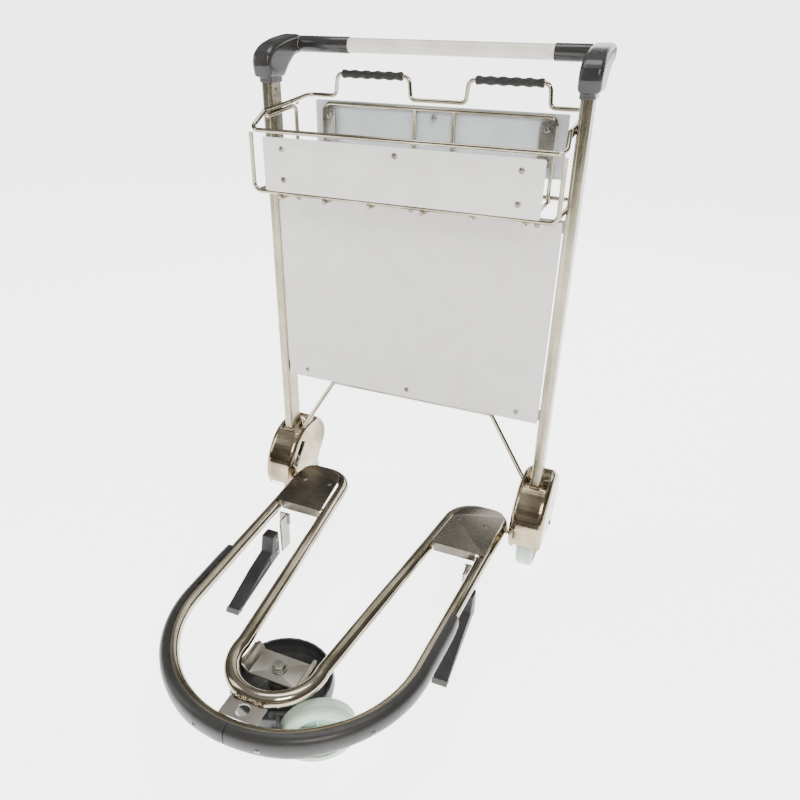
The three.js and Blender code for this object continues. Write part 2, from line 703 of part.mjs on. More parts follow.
// ---------------------------------------------------------------- front caster
function addCasterMount() {
  const thickness = 4;
  const depth = 52;
  const top = BRACKET_Z + thickness;
  const shape = outline([
    [-50, 139],
    [-55.5, 138],
    [-44, BRACKET_Z],
    [44, BRACKET_Z],
    [55.5, 138],
    [50, 139],
    [42, top],
    [-42, top],
  ]);
  const strip = frontPlate(shape, KINGPIN_Y - depth / 2, depth);
  const hole = cylinder(KINGPIN_R + GAP, 40, 12).translate(0, KINGPIN_Y, BRACKET_Z);
  add("caster_bracket", cut(strip, hole), brushedSteel());

  const washer = cylinder(13, 2, 20).translate(0, 0, top + GAP + 1);
  const head = cylinder(10.5, 8, 6).translate(0, 0, top + GAP + 5);
  const shankBottom = BOWL_FLOOR_Z + 12;
  const shank = cylinder(KINGPIN_R, top + 2 - shankBottom, 12);
  shank.translate(0, 0, (top + 2 + shankBottom) / 2);
  add("kingpin_bolt", join(washer, head, shank).translate(0, KINGPIN_Y, 0), zincSteel());
}

// Everything that swivels is drawn about the kingpin, with the wheel trailing along +X.
function addCaster() {
  const caster = new THREE.Group();
  caster.position.set(0, KINGPIN_Y, 0);
  caster.rotation.z = CASTER_HEADING;
  trolley.add(caster);

  const wall = 4;
  const bowl = turned(
    [
      [0, BOWL_FLOOR_Z],
      [52, BOWL_FLOOR_Z],
      [70, BOWL_FLOOR_Z + 9],
      [BOWL_R - 3, BOWL_FLOOR_Z + 25],
      [BOWL_R, BOWL_FLOOR_Z + 42],
      [BOWL_R - 3, BOWL_RIM_Z],
      [BOWL_R - 3 - wall, BOWL_RIM_Z],
      [BOWL_R - wall, BOWL_FLOOR_Z + 42],
      [BOWL_R - 3 - wall, BOWL_FLOOR_Z + 27],
      [68, BOWL_FLOOR_Z + 13],
      [50, BOWL_FLOOR_Z + wall],
      [0, BOWL_FLOOR_Z + wall],
    ],
    32,
  );
  bowl.translate(BOWL_SHIFT, -BOWL_SHIFT, 0);
  const clear = 2;
  const wellLength = 160;
  const well = box(wellLength, FRONT_WHEEL_W + 2 * clear, 140, 0, -WHEEL_OFFSET, 60);
  well.translate(TRAIL - FRONT_WHEEL_R - clear + wellLength / 2, 0, 0);
  const bossTop = 104;
  const boss = cylinder(20, bossTop - BOWL_FLOOR_Z - 1, 20);
  boss.translate(0, 0, (bossTop + BOWL_FLOOR_Z + 1) / 2);
  const pinHole = cylinder(KINGPIN_R + GAP, 100, 12).translate(0, 0, bossTop);

  const legT = 8;
  const legFront = TRAIL - FRONT_WHEEL_R - 16;
  const legShape = new THREE.Shape();
  const lobe = 16;
  legShape.absarc(TRAIL, FRONT_WHEEL_R, lobe, -Math.PI / 2, Math.PI / 2);
  legShape.lineTo(legFront, 92);
  legShape.lineTo(legFront, BOWL_FLOOR_Z + 10);
  const axleHole = cylinder(FRONT_AXLE_R + GAP, 200, 12).rotateX(Math.PI / 2);
  axleHole.translate(TRAIL, -WHEEL_OFFSET, FRONT_WHEEL_R);
  const halfWell = FRONT_WHEEL_W / 2 + clear;
  const innerLeg = frontPlate(legShape, -WHEEL_OFFSET + halfWell, legT);
  const outerLeg = frontPlate(legShape, -WHEEL_OFFSET - halfWell - legT, legT);
  const nutPocket = cylinder(9, 12, 12).rotateX(Math.PI / 2);
  nutPocket.translate(TRAIL, -WHEEL_OFFSET + halfWell + legT + 6, FRONT_WHEEL_R);
  const bridgeDepth = 2 * halfWell + 2 * legT;
  const bridge = box(10, bridgeDepth, 30, legFront + 5, -WHEEL_OFFSET, 76);
  const housing = join(cut(bowl, well), boss, innerLeg, outerLeg, bridge);
  add("caster_housing", cut(housing, pinHole, axleHole, nutPocket), bowlPlastic(), caster);

  const bearingHeight = BRACKET_Z - bossTop - 2 * GAP;
  const bearing = ring(18, KINGPIN_R + GAP, bearingHeight, 1, 20);
  bearing.translate(0, 0, (BRACKET_Z + bossTop) / 2);
  add("swivel_bearing", bearing, zincSteel(), caster);

  const onAxle = (geometry) =>
    geometry.rotateX(Math.PI / 2).translate(TRAIL, -WHEEL_OFFSET, FRONT_WHEEL_R);
  const tyreInside = 47;
  add("caster_tyre", onAxle(ring(FRONT_WHEEL_R, tyreInside, FRONT_WHEEL_W, 3, 32)), mintTyre(), caster);
  const hub = ring(tyreInside - GAP, FRONT_AXLE_R + GAP, FRONT_WHEEL_W - 4, 2, 24);
  add("caster_hub", onAxle(hub), mintHub(), caster);
  const outside = halfWell + legT + GAP;
  const nut = cylinder(8, 4, 6);
  const shank = cylinder(FRONT_AXLE_R, 2 * outside + 1, 12);
  const axle = join(shank, nut.clone().translate(0, 0, outside + 2), nut.translate(0, 0, -outside - 2));
  add("caster_axle_bolt", onAxle(axle), zincSteel(), caster);
}

// ---------------------------------------------------------------- build
addPlatform();
addNoseLinkPlate();
addDeckPlates();
addBumpers();
addSkids();
addUprights();
addGuards();
addAxleForks();
addRearWheels();
addBraceRod();
addPanels();
addBasket();
addHandle();
addCasterMount();
addCaster();

export default trolley;
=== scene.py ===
"""Looks for the airport luggage trolley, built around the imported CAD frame."""
import math
import random

import bmesh
import bpy
from mathutils import Matrix, Vector


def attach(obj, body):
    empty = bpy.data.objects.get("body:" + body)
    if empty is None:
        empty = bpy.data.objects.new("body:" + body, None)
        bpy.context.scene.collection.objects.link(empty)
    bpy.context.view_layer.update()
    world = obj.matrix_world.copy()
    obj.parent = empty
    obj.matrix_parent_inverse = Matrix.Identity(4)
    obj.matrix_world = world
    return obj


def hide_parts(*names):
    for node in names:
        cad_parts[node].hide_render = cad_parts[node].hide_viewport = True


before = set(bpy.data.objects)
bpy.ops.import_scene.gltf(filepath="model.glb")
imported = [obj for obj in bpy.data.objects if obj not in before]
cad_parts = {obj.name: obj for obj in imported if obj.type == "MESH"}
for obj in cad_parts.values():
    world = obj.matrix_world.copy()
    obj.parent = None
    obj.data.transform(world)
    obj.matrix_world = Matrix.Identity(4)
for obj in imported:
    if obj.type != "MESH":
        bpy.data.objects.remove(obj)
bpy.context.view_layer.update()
random.seed(4)

MM = 0.001
SHIFT_Y = 296  # the frame's y, in mm, where the uprights' middle plane is

# ---------------------------------------------------------------- dimensions shared with the CAD, in mm
TUBE_R, TUBE_Z, TUBE_Z_AT, SLOPE = 12.5, 130, -100, 0.022
NOSE_R, NOSE_Y = 216, -470
OUTER_REAR_X, REAR_RUN_Y, INNER_REAR_X = 238, -24, 133
INNER_NOSE_R, INNER_NOSE_Y = 75, -550
DECK_FRONT_Y, DECK_TOP = -180, 145
WIRE_R, WIRE_STEP = 4, 8.3
BASKET_X, BASKET_FRONT_Y, SIDE_WIRE_X = 280, -92, 273.7
RIM_FRONT_Z, RIM_SIDE_Z, RIM_REAR_Z, RAIL_Y, RAIL_CORNER_X = 877, 904, 922, 105, 268
LOOP_IN_X, LOOP_OUT_X, LOOP_TOP_Z = 54, 209, 961
REAR_FRAME_Y, REAR_FRAME_X, REAR_FRAME_TOP = 88, 226, 909
FLOOR_WIRE_Z, FLOOR_WIRE_X = 764.3, (49.5, 137, 226)
HANDLE_Y, HANDLE_Z = 88, 1010
REAR_WHEEL = (285, 22, 62.5)
KINGPIN_Y, TRAIL, OFFSET, HEADING = -551, 54, 78, math.radians(33)
FRONT_WHEEL_R = 61.5
REAR_WHEEL_WIDTH, FRONT_WHEEL_WIDTH, TYRE_INSIDE_R = 34, 30, 47
GRIP_IN_X, GRIP_OUT_X = 71, 193.5


def at(x, y, z):
    return Vector((x, y + SHIFT_Y, z)) * MM


def tube_z(y):
    return TUBE_Z + SLOPE * (TUBE_Z_AT - y)


def on_tube(x, y):
    return at(x, y, tube_z(y))


# ---------------------------------------------------------------- materials
def new_material(name):
    material = bpy.data.materials.new(name)
    material.use_nodes = True
    tree = material.node_tree
    return material, tree, tree.nodes["Principled BSDF"]


def noise(tree, scale, detail, stretch=(1, 1, 1), roughness=0.55):
    coords = tree.nodes.new("ShaderNodeTexCoord")
    mapping = tree.nodes.new("ShaderNodeMapping")
    mapping.inputs["Scale"].default_value = stretch
    texture = tree.nodes.new("ShaderNodeTexNoise")
    texture.inputs["Scale"].default_value = scale
    texture.inputs["Detail"].default_value = detail
    texture.inputs["Roughness"].default_value = roughness
    tree.links.new(coords.outputs["Object"], mapping.inputs["Vector"])
    tree.links.new(mapping.outputs["Vector"], texture.inputs["Vector"])
    return texture.outputs["Fac"]


def ramp(tree, source, stops):
    node = tree.nodes.new("ShaderNodeValToRGB")
    elements = node.color_ramp.elements
    while len(elements) < len(stops):
        elements.new(0.5)
    for element, (position, color) in zip(elements, stops):
        element.position = position
        element.color = (*color, 1)
    tree.links.new(source, node.inputs["Fac"])
    return node.outputs["Color"]


def spread(tree, source, low, high):
    node = tree.nodes.new("ShaderNodeMapRange")
    node.inputs["From Min"].default_value = 0.3
    node.inputs["From Max"].default_value = 0.7
    node.inputs["To Min"].default_value = low
    node.inputs["To Max"].default_value = high
    tree.links.new(source, node.inputs["Value"])
    return node.outputs["Result"]


def bump(tree, shader, layers):
    normal = None
    for source, strength, distance in layers:
        node = tree.nodes.new("ShaderNodeBump")
        node.inputs["Strength"].default_value = strength
        node.inputs["Distance"].default_value = distance
        tree.links.new(source, node.inputs["Height"])
        if normal is not None:
            tree.links.new(normal, node.inputs["Normal"])
        normal = node.outputs["Normal"]
    tree.links.new(normal, shader.inputs["Normal"])


def steel(name, dark, light, rough, stretch=(1, 1, 1), grain=0.08):
    material, tree, shader = new_material(name)
    shader.inputs["Metallic"].default_value = 1
    patches = noise(tree, 9, 5)
    tree.links.new(ramp(tree, patches, [(0.32, dark), (0.68, light)]), shader.inputs["Base Color"])
    lines = noise(tree, 420, 3, stretch)
    tree.links.new(spread(tree, lines, rough * 0.75, rough * 1.35), shader.inputs["Roughness"])
    waves = noise(tree, 26, 2)
    bump(tree, shader, [(lines, grain, 0.0002), (waves, 0.12, 0.0012)])
    return material


def plastic(name, dark, light, rough, grain_scale=900, grain=0.12, coat=0.0):
    material, tree, shader = new_material(name)
    clouds = noise(tree, 22, 6)
    tree.links.new(ramp(tree, clouds, [(0.3, dark), (0.7, light)]), shader.inputs["Base Color"])
    scuffs = noise(tree, 60, 8, (1, 3.5, 1), 0.7)
    tree.links.new(spread(tree, scuffs, rough * 0.8, rough * 1.3), shader.inputs["Roughness"])
    shader.inputs["Coat Weight"].default_value = coat
    shader.inputs["Specular IOR Level"].default_value = 0.28
    bump(tree, shader, [(noise(tree, grain_scale, 2), grain, 0.0003), (scuffs, 0.06, 0.0006)])
    return material


POLISHED = steel("polished_steel", (0.18, 0.155, 0.11), (0.42, 0.385, 0.30), 0.12)
UPRIGHT_STEEL = steel("upright_steel", (0.20, 0.18, 0.13), (0.36, 0.325, 0.24), 0.24, (6, 6, 0.15), 0.15)
GOLDEN = steel("guard_steel", (0.13, 0.105, 0.065), (0.52, 0.43, 0.30), 0.17)
BRUSHED = steel("brushed_steel", (0.10, 0.09, 0.072), (0.18, 0.165, 0.14), 0.27, (0.12, 6, 6), 0.22)
SHEET = steel("plain_sheet", (0.18, 0.168, 0.145), (0.32, 0.30, 0.265), 0.34, (6, 0.12, 6), 0.18)
ZINC = steel("zinc", (0.13, 0.125, 0.105), (0.28, 0.27, 0.24), 0.28)
WELD = steel("weld", (0.12, 0.085, 0.04), (0.44, 0.38, 0.27), 0.34)
WHITE = plastic("white_panel", (0.545, 0.53, 0.51), (0.60, 0.585, 0.565), 0.38, 260, 0.08, 0.1)
BLUE = plastic("blue_panel", (0.50, 0.545, 0.575), (0.60, 0.64, 0.665), 0.18, 260, 0.05, 0.3)
CREAM = plastic("cream_handle", (0.56, 0.52, 0.44), (0.70, 0.66, 0.58), 0.28, 500, 0.08, 0.2)
DARK = plastic("dark_plastic", (0.014, 0.0135, 0.013), (0.030, 0.029, 0.028), 0.22, 700, 0.10, 0.1)
BUMPER = plastic("bumper_plastic", (0.020, 0.0195, 0.0185), (0.032, 0.031, 0.0295), 0.38, 700, 0.08, 0.05)
BOWL = plastic("bowl_plastic", (0.032, 0.034, 0.033), (0.066, 0.068, 0.066), 0.34, 700, 0.15, 0.05)
CHARCOAL = plastic("charcoal_plastic", (0.012, 0.011, 0.012), (0.026, 0.024, 0.026), 0.45, 900, 0.3)
TIP = plastic("worn_tip", (0.07, 0.068, 0.066), (0.15, 0.145, 0.14), 0.5, 800, 0.3)
GRIP = plastic("grip_rubber", (0.010, 0.010, 0.009), (0.022, 0.022, 0.020), 0.5, 1200, 0.35)
TREAD = plastic("tread", (0.40, 0.50, 0.41), (0.52, 0.62, 0.53), 0.4, 900, 0.3)
MINT = plastic("mint_wheel", (0.42, 0.60, 0.50), (0.54, 0.72, 0.62), 0.34, 500, 0.12, 0.1)


# ---------------------------------------------------------------- mesh helpers
def finish_piece(bm, name, material, body, replaces=(), sharp=35):
    bmesh.ops.remove_doubles(bm, verts=bm.verts, dist=1e-6)
    bmesh.ops.recalc_face_normals(bm, faces=bm.faces)
    mesh = bpy.data.meshes.new(name)
    bm.to_mesh(mesh)
    bm.free()
    mesh.shade_smooth()
    mesh.set_sharp_from_angle(angle=math.radians(sharp))
    piece = bpy.data.objects.new(name, mesh)
    bpy.context.scene.collection.objects.link(piece)
    mesh.materials.append(material)
    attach(piece, body)
    if replaces:
        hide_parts(*replaces)
    return piece


def rounded(corners, radius, steps=8):
    """Corner points with each inner corner turned into an arc."""
    path = [corners[0]]
    for i in range(1, len(corners) - 1):
        corner = corners[i]
        back, ahead = corners[i - 1] - corner, corners[i + 1] - corner
        room = 0.49 * min(back.length, ahead.length)
        back, ahead = back.normalized(), ahead.normalized()
        half = back.angle(ahead) / 2
        wanted = (radius[i - 1] if isinstance(radius, list) else radius) * MM
        r = min(wanted, room * math.tan(half))
        centre = corner + (back + ahead).normalized() * (r / math.sin(half))
        start = corner + back * (r / math.tan(half)) - centre
        end = corner + ahead * (r / math.tan(half)) - centre
        turn = [start.normalized().slerp(end.normalized(), k / steps) for k in range(steps + 1)]
        path += [centre + step * start.length for step in turn]
    return path + [corners[-1]]


def both_sides(right):
    """A right-hand run that starts on the middle plane, with its mirror image in front."""
    left = [Vector((-p.x, p.y, p.z)) for p in reversed(right)]
    return left + right


def sweep(bm, path, section, closed=False, scale=None):
    """Section points (right, up) carried along a path. The path's frames start level and don't twist."""
    count = len(path)
    rings = []
    up = Vector((0, 0, 1))
    for i, point in enumerate(path):
        before = path[i - 1] if i or closed else point
        after = path[(i + 1) % count] if i < count - 1 or closed else point
        along = ((point - before).normalized() + (after - point).normalized()).normalized()
        if i == 0 and abs(along.z) > 0.9:
            up = Vector((0, 1, 0))
        side = along.cross(up).normalized()
        up = side.cross(along).normalized()
        size = scale(i / max(count - 1, 1)) if scale else 1
        rings.append([bm.verts.new(point + (side * a + up * b) * MM * size) for a, b in section])
    pairs = list(zip(rings, rings[1:])) + ([(rings[-1], rings[0])] if closed else [])
    n = len(section)
    for one, two in pairs:
        for k in range(n):
            bm.faces.new((one[k], one[(k + 1) % n], two[(k + 1) % n], two[k]))
    if not closed:
        bm.faces.new(list(reversed(rings[0])))
        bm.faces.new(rings[-1])


def circle(radius, sides=20):
    turns = [2 * math.pi * k / sides for k in range(sides)]
    return [(radius * math.cos(t), radius * math.sin(t)) for t in turns]


def tube(name, path, radius, replaces, closed=False, sides=20):
    """A polished steel tube or wire of the frame, in place of the CAD nodes it replaces."""
    bm = bmesh.new()
    sweep(bm, path, circle(radius, sides), closed)
    return finish_piece(bm, name, POLISHED, "frame", replaces)


def placed(origin, axis):
    """A matrix that puts +Z along axis at origin."""
    turn = Vector((0, 0, 1)).rotation_difference(Vector(axis).normalized()).to_matrix().to_4x4()
    return Matrix.Translation(origin) @ turn


def spin(bm, profile, matrix, sides=40, closed=True):
    """[radius, height] points in mm, turned about +Z and put in place by matrix."""
    rings = []
    for r, h in profile:
        if r < 1e-4:
            rings.append([bm.verts.new(matrix @ Vector((0, 0, h * MM)))])
            continue
        rings.append([bm.verts.new(matrix @ (Vector((a, b, h)) * MM)) for a, b in circle(r, sides)])
    pairs = list(zip(rings, rings[1:])) + ([(rings[-1], rings[0])] if closed else [])
    for one, two in pairs:
        if len(one) == 1 and len(two) == 1:
            continue
        for k in range(sides):
            a, b = one[k % len(one)], one[(k + 1) % len(one)]
            c, d = two[(k + 1) % len(two)], two[k % len(two)]
            corners = [v for i, v in enumerate((a, b, c, d)) if v not in (a, b, c, d)[:i]]
            bm.faces.new(corners)


def clone(node, material, bevel=0.0, remesh=0.0, smooth=0, body="frame", sharp=30):
    """The CAD node's own shape as a new piece, with softened edges or a smoothed skin."""
    bm = bmesh.new()
    bm.from_mesh(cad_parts[node].data)
    piece = finish_piece(bm, "look_" + node, material, body, (node,), sharp)
    if remesh:
        skin = piece.modifiers.new("skin", "REMESH")
        skin.mode = "VOXEL"
        skin.voxel_size = remesh * MM
        skin.use_smooth_shade = True
        relax = piece.modifiers.new("relax", "SMOOTH")
        relax.factor = 0.5
        relax.iterations = smooth
    if bevel:
        edge = piece.modifiers.new("edge", "BEVEL")
        edge.width = bevel * MM
        edge.segments = 3
        edge.limit_method = "ANGLE"
        edge.angle_limit = math.radians(35)
        edge.harden_normals = True
    return piece


def dome(bm, origin, axis, radius=4.0, height=2.2):
    """A button-head fixing with a small socket in its middle."""
    r, h = radius, height
    profile = [(0, h * 0.45), (r * 0.3, h * 0.45), (r * 0.36, h), (r * 0.62, h * 0.93), (r * 0.86, h * 0.66),
               (r, h * 0.25), (r, 0), (0, 0)]
    spin(bm, profile, placed(origin, axis), 20, closed=False)


def fixings(name, points, axis, radius=4.0, height=2.2, body="frame", material=None):
    bm = bmesh.new()
    for point in points:
        dome(bm, at(*point), axis, radius, height)
    return finish_piece(bm, name, material or ZINC, body, ())


def bead(bm, path, radius):
    """A weld bead: a rippled run of overlapping drops."""
    dense = []
    for one, two in zip(path, path[1:]):
        steps = max(2, int((two - one).length / (0.45 * radius * MM)))
        dense += [one.lerp(two, k / steps) for k in range(steps)]
    dense.append(path[-1])
    ripple = [1 + 0.22 * math.sin(k * 1.9) + random.uniform(-0.08, 0.08) for k in range(len(dense))]
    ripple[0] = ripple[-1] = 0.35
    sweep(bm, dense, circle(radius, 10), scale=lambda t: ripple[round(t * (len(dense) - 1))])


def beads(name, runs, radius=2.0):
    bm = bmesh.new()
    for run in runs:
        bead(bm, [at(*p) for p in run], radius)
    return finish_piece(bm, name, WELD, "frame", ())


def pair(points):
    return points + [(-x, y, z) for x, y, z in points]


# ---------------------------------------------------------------- platform
def outer_arc(steps, start=0.0):
    stop = math.radians(88)
    angles = [start + (stop - start) * k / steps for k in range(steps + 1)]
    return [on_tube(NOSE_R * math.sin(a), NOSE_Y - NOSE_R * math.cos(a)) for a in angles]


def inner_arc(steps):
    away = math.hypot(INNER_REAR_X, REAR_RUN_Y - INNER_NOSE_Y)
    leg = math.atan2(INNER_REAR_X, REAR_RUN_Y - INNER_NOSE_Y) - math.asin(INNER_NOSE_R / away)
    stop = math.pi / 2 + leg
    angles = [stop * k / steps for k in range(steps + 1)]
    return [on_tube(INNER_NOSE_R * math.sin(a), INNER_NOSE_Y - INNER_NOSE_R * math.cos(a)) for a in angles]


outer, inner = outer_arc(36), inner_arc(28)
corners = [outer[-1], on_tube(OUTER_REAR_X, REAR_RUN_Y), on_tube(INNER_REAR_X, REAR_RUN_Y), inner[-1]]
right_run = outer[:-1] + rounded(corners, [34, 56], 12) + list(reversed(inner[:-1]))
left_run = [Vector((-p.x, p.y, p.z)) for p in reversed(right_run)]
loop = right_run + left_run[1:-1]
platform_nodes = (
    "platform_outer_tube", "platform_inner_tube", "platform_rear_bend_right", "platform_rear_bend_left")
tube("platform_tube_loop", loop, TUBE_R, platform_nodes, closed=True, sides=28)

clone("nose_link_plate", SHEET, bevel=0.6)
for side in ("right", "left"):
    clone("deck_plate_" + side, BRUSHED, bevel=0.7)
    clone("skid_bracket_" + side, SHEET, bevel=0.5)
    clone("nesting_skid_" + side, CHARCOAL, bevel=1.2)
deck_z = DECK_TOP - 0.9
fixings("deck_rivets", pair([(152, -84, deck_z), (211, -88, deck_z)]), (0, 0, 1), 5, 2.2)
edge_z = 143.5
inner_weld = [(124, DECK_FRONT_Y - 1, 138), (131, DECK_FRONT_Y - 2, edge_z), (124, DECK_FRONT_Y + 12, edge_z)]
inner_welds = [[(s * x, y, z) for x, y, z in inner_weld] for s in (1, -1)]
outer_welds = [[(s * 215, DECK_FRONT_Y - 1, 136), (s * 224, DECK_FRONT_Y - 1, 141)] for s in (1, -1)]
beads("deck_welds", inner_welds + outer_welds, 2.2)
beads("link_plate_welds", [
    [(-27, -638, 146), (-14, -637, 147.5), (0, -637, 148), (14, -637, 147.5), (27, -638, 146)]], 2.6)

# Skid details: a raised frame round the recessed side, a worn tip and two screws.
for s, side in ((1, "right"), (-1, "left")):
    bm = bmesh.new()
    rim = [at(s * 205.6, y, z) for y, z in ((-256, 48), (-300, 38), (-368, 12), (-300, 26), (-254, 36))]
    sweep(bm, rim + [rim[0]], [(-0.9, -1.2), (0.9, -1.2), (0.9, 1.2), (-0.9, 1.2)])
    finish_piece(bm, "skid_rib_" + side, CHARCOAL, "frame", ())
    bm = bmesh.new()
    face = [(-379, 12.6), (-384.6, 3), (-370, 1.6), (-366, 5)]
    for x in (s * 205.4, s * 234.6):
        for y, z in face:
            bm.verts.new(at(x, y, z))
    bm.verts.ensure_lookup_table()
    bm.faces.new(bm.verts[0:4])
    bm.faces.new(bm.verts[4:8])
    for k in range(4):
        j = (k + 1) % 4
        bm.faces.new((bm.verts[k], bm.verts[j], bm.verts[4 + j], bm.verts[4 + k]))
    tip = finish_piece(bm, "skid_tip_" + side, TIP, "frame", ())
    tip.modifiers.new("edge", "BEVEL").width = 0.8 * MM
    fixings("skid_screws_" + side, [(s * 206, -226, 80), (s * 206, -226, 48)], (-s, 0, 0), 4.5, 3)


# ---------------------------------------------------------------- bumper
def bumper_section(drop):
    hug = TUBE_R + 0.4
    inside = [(hug * math.cos(math.radians(d)), hug * math.sin(math.radians(d))) for d in range(78, -66, -9)]
    outside = [(8, -20 - drop), (13, -20 - drop), (17.5, -16 - drop), (19.4, -10 - drop * 0.6), (20, -3),
               (19.6, 4), (17.6, 9.6), (13.6, 13.6), (8.5, 15.7), (3.2, 16)]
    return inside + outside


for s, side in ((1, "right"), (-1, "left")):
    arc = outer_arc(40, math.asin(0.35 / NOSE_R))
    end = arc[-1].lerp(on_tube(OUTER_REAR_X, REAR_RUN_Y), 0.28)
    path = arc + [arc[-1].lerp(end, k / 8) for k in range(1, 9)]
    bm = bmesh.new()
    rings = []
    last = len(path) - 1
    for i, point in enumerate(path):
        ahead = (path[min(i + 1, last)] - path[max(i - 1, 0)]).normalized()
        out = ahead.cross(Vector((0, 0, 1))).normalized()
        t = i / last
        belly = 5.5 * math.exp(-((t - 0.24) / 0.13) ** 2)
        fade = 1 - 0.35 * max(0, (t - 0.97) / 0.03)
        ring = []
        for a, b in bumper_section(belly):
            reach = TUBE_R + (a - TUBE_R) * fade if a > TUBE_R else a
            p = point + (out * reach + Vector((0, 0, b))) * MM
            ring.append(bm.verts.new(Vector((s * p.x, p.y, p.z))))
        rings.append(ring)
    n = len(rings[0])
    for one, two in zip(rings, rings[1:]):
        for k in range(n):
            bm.faces.new((one[k], one[(k + 1) % n], two[(k + 1) % n], two[k]))
    bm.faces.new(rings[0])
    bm.faces.new(rings[-1])
    finish_piece(bm, "bumper_shell_" + side, BUMPER, "frame", ("bumper_" + side,), 50)

reach = NOSE_R + 19.4
for degrees in (-14, 13, 55, -55):
    a = math.radians(degrees)
    spot = (reach * math.sin(a), NOSE_Y - reach * math.cos(a), tube_z(NOSE_Y - reach * math.cos(a)) - 8)
    fixings(f"bumper_rivet_{degrees + 60}", [spot], (math.sin(a), -math.cos(a), -0.15), 4.2, 2.0)

# ---------------------------------------------------------------- uprights, guards and rear wheels
for s, side in ((1, "right"), (-1, "left")):
    clone("upright_" + side, UPRIGHT_STEEL, bevel=0.25)
    clone("wheel_guard_" + side, GOLDEN, remesh=1.3, smooth=10)
    clone("axle_fork_" + side, SHEET, bevel=0.5)
    foot = [
        (277, 18, 226), (277, -18, 222), (280, -21, 221.5),
        (296, -21, 221.5), (299, -18, 222), (299, 18, 226)]
    beads("foot_weld_" + side, [[(s * x, y, z) for x, y, z in foot]], 2.4)
    beads("tube_weld_" + side, [[(s * 246, -64, 141), (s * 250, -66, 134), (s * 251, -66, 124)]], 2.6)
    fixings("upright_rivets_" + side, [(s * 278, 0, z) for z in (936, 800, 400)], (-s, 0, 0), 4, 1.6)
    fixings("guard_screw_" + side, [(s * 322, 22, 112)], (s, 0, 0), 6, 3.2)


def wheel(name, centre, axis, radius, width, body, tyre_node, hub_node):
    """A tyre with two shallow grooves, and a dished hub with ribs."""
    half = width / 2
    place = placed(centre, axis)
    bm = bmesh.new()
    r = radius
    tread = [
        (TYRE_INSIDE_R, -half), (r - 6, -half), (r - 2.6, -half + 1.6), (r - 0.6, -half + 4.6),
        (r - 0.2, -half + 7), (r - 1.4, -half + 7.6), (r - 1.4, -half + 8.6), (r, -half + 9.2)]
    profile = tread + [(a, -h) for a, h in reversed(tread)]
    spin(bm, profile, place, 96)
    finish_piece(bm, "tyre_" + name, TREAD, body, (tyre_node,))
    bm = bmesh.new()
    e, h = TYRE_INSIDE_R - 0.3, half - 2
    dish = [
        (6.4, h - 1), (17, h), (19, h - 1.2), (20, h - 7), (e - 10, h - 7), (e - 7, h - 1.2),
        (e - 5, h - 0.3), (e - 0.6, h - 0.3), (e, h - 1.2)]
    spin(bm, dish + [(a, -b) for a, b in reversed(dish)], place, 72)
    for k in range(6):
        turn = place @ Matrix.Rotation(2 * math.pi * k / 6, 4, "Z")
        for sign in (1, -1):
            low, high = sign * (h - 7.5), sign * (h - 2.2)
            spots = [(18.6, -1.6, low), (e - 7.6, -1.6, low), (e - 7.6, 1.6, low), (18.6, 1.6, low),
                     (18.6, -1.1, high), (e - 7.6, -1.1, high), (e - 7.6, 1.1, high), (18.6, 1.1, high)]
            v = [bm.verts.new(turn @ (Vector(p) * MM)) for p in spots]
            for face in ((0, 1, 2, 3), (4, 5, 6, 7), (0, 1, 5, 4), (1, 2, 6, 5), (2, 3, 7, 6), (3, 0, 4, 7)):
                bm.faces.new([v[i] for i in face])
    finish_piece(bm, "hub_" + name, MINT, body, (hub_node,))


for s, side in ((1, "right"), (-1, "left")):
    x, y, z = REAR_WHEEL
    wheel("rear_" + side, at(s * x, y, z), (1, 0, 0), z, REAR_WHEEL_WIDTH,
          "rear_wheel_" + side, "rear_tyre_" + side, "rear_hub_" + side)
    clone("rear_axle_bolt_" + side, ZINC, bevel=0.5)

brace = rounded([at(-258.5, -2, 226), at(-178, 2, 356), at(178, 2, 356), at(258.5, -2, 226)], 14, 8)
tube("brace_rod_bent", brace, 4.5, ("brace_rod",))
beads("brace_welds", [[(s * 256, -7, 229), (s * 260, -5, 224), (s * 262, 0, 222)] for s in (1, -1)], 2.2)

# ---------------------------------------------------------------- panels
panels = (
    ("lower_panel", WHITE, "white_panel"), ("basket_front_panel", WHITE, "white_panel"),
    ("rear_panel", BLUE, "blue_panel"))
for node, material, slot_name in panels:
    clone(node, material, bevel=0.8)
for node in ("panel_top_rail", "panel_bottom_rail"):
    clone(node, SHEET, bevel=0.5)
for side in ("right", "left"):
    clone("rear_panel_bracket_" + side, ZINC, bevel=0.6)
row = [(x, -17, z) for x in (-232, 0, 232) for z in (749, 383)]
fixings("lower_panel_screws", row, (0, -1, 0), 5, 2.4)
row = [(x, -99.3, z) for x, z in ((-215, 849), (0, 854), (215, 849), (-214, 797), (214, 797))]
fixings("front_panel_screws", row, (0, -1, 0), 5, 2.4)
fixings("rear_bracket_screws", pair([(212, 81, 889), (215, 81, 837)]), (0, -1, 0), 6, 3.4)
fixings("rear_tab_screw", [(1, 84, 896)], (0, -1, 0), 6, 3.4)

